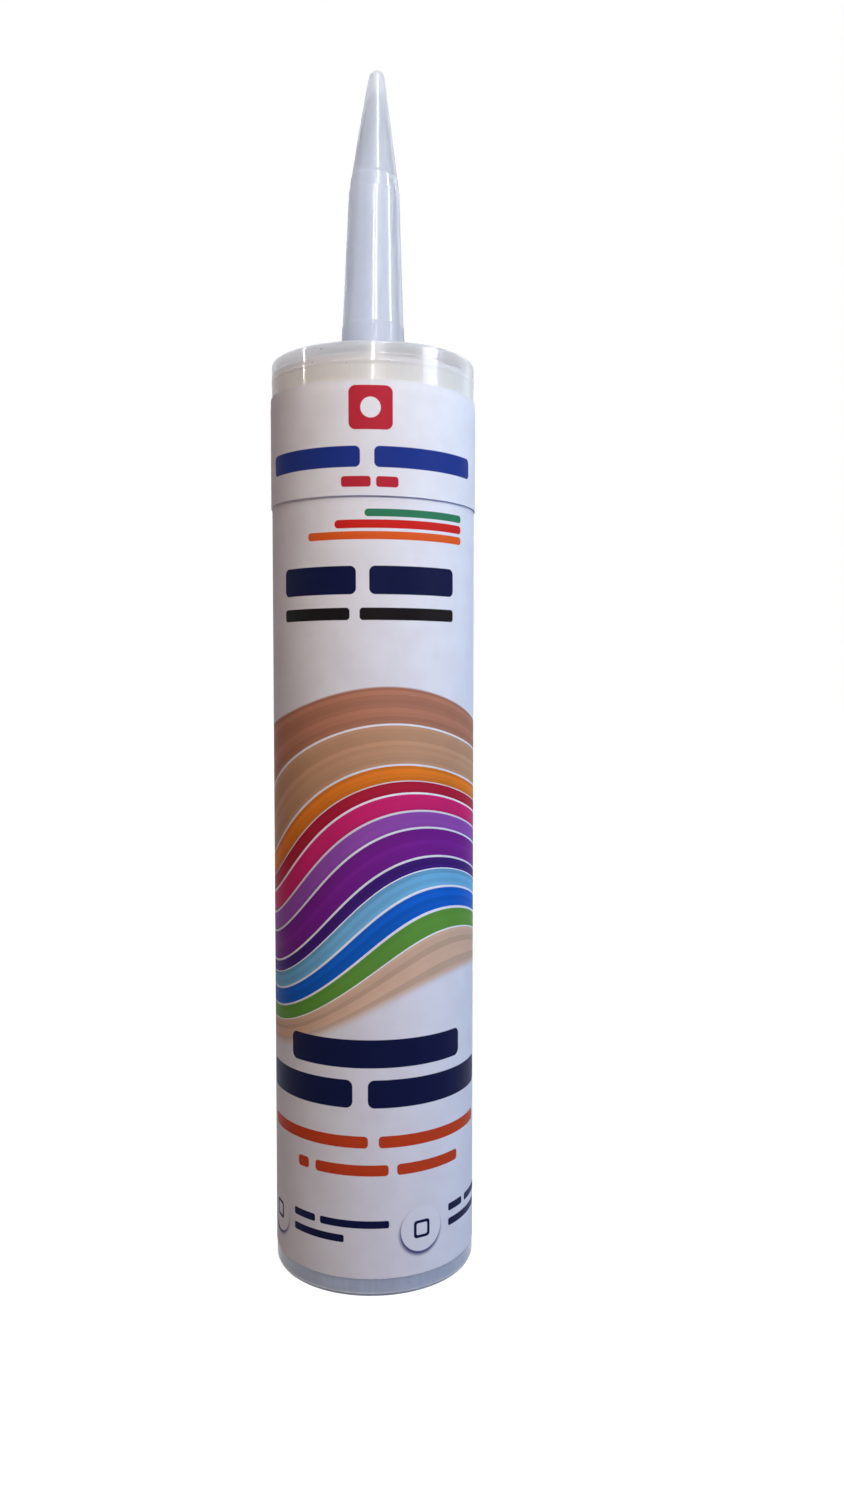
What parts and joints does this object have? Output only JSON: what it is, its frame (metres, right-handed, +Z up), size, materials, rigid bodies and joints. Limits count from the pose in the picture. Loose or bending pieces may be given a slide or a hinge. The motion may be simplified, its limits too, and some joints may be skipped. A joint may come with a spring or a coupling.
{
  "type": "caulk tube",
  "caption": "Upright plastic caulk cartridge with a long closed taper nozzle on a welded end cap, two plain wrap labels, paste filling and a plunger that slides up the bore.",
  "frame": {"origin": "centre of the rear rim that the tube stands on", "axes": "+Z up the tube's axis towards the nozzle, -Y the front of the labels, +X to the right seen from the front"},
  "size_m": [0.0498, 0.0498, 0.2897],
  "materials": {
    "barrel_plastic": "natural translucent polyethylene, satin",
    "cap_plastic": "natural translucent polyethylene, semi-gloss",
    "seal_foil": "thin bright foil",
    "paste": "smooth cream paste",
    "plunger_plastic": "white moulded polyethylene",
    "wrap_paper": "white semi-gloss printed paper with plain fields of colour",
    "band_paper": "white satin printed paper with plain fields of colour"
  },
  "bodies": {
    "tube": {"barrel": "barrel_plastic", "nozzle_cap": "cap_plastic", "inner_seal": "seal_foil", "filling": "paste", "wrap_label": "wrap_paper", "band_label": "band_paper"},
    "plunger": {"plunger": "plunger_plastic"}
  },
  "joints": [
    {"name": "plunger_slide", "type": "slide", "parent": "tube", "child": "plunger", "axis": [0, 0, 1], "range_m": [0, 0.173], "deforming": ["filling"]}
  ]
}
